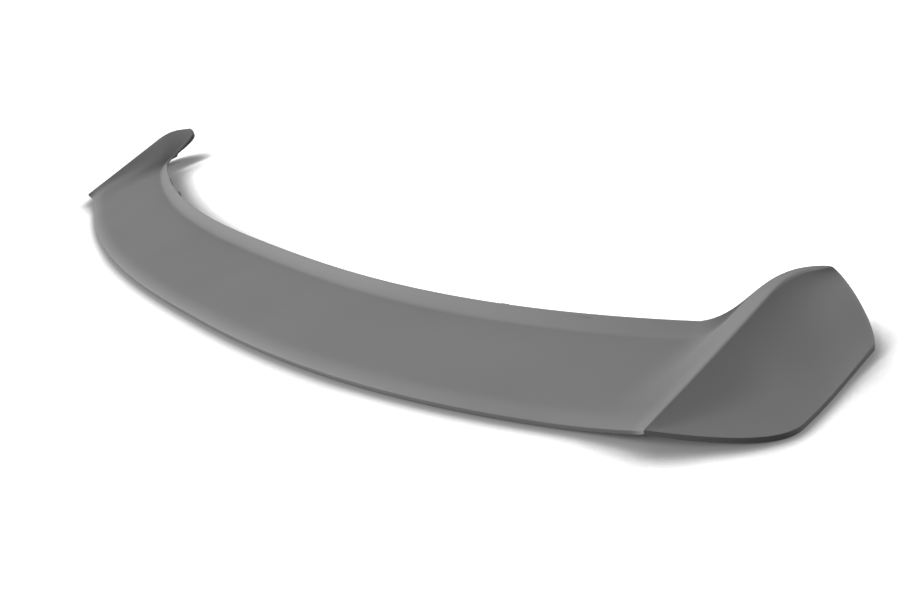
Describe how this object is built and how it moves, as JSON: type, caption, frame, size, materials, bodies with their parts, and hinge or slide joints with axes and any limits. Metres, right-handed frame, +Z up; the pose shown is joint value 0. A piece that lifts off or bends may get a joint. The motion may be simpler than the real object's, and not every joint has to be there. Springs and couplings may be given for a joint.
{
  "type": "trunk spoiler",
  "caption": "Low wrap-around trunk spoiler in grey matte plastic: a thin bowed blade that curls up at each end into a creased, coved fin, open underneath.",
  "frame": {"origin": "middle of the outline seen from above, at the plane the part rests on", "axes": "+X along the span to one fin, +Y from the leading lip to the rear of the fins, +Z up"},
  "size_m": [1.233, 0.299, 0.0606],
  "materials": {
    "shell": "matte"
  },
  "bodies": {
    "root": {"spoiler": "shell"}
  },
  "joints": []
}
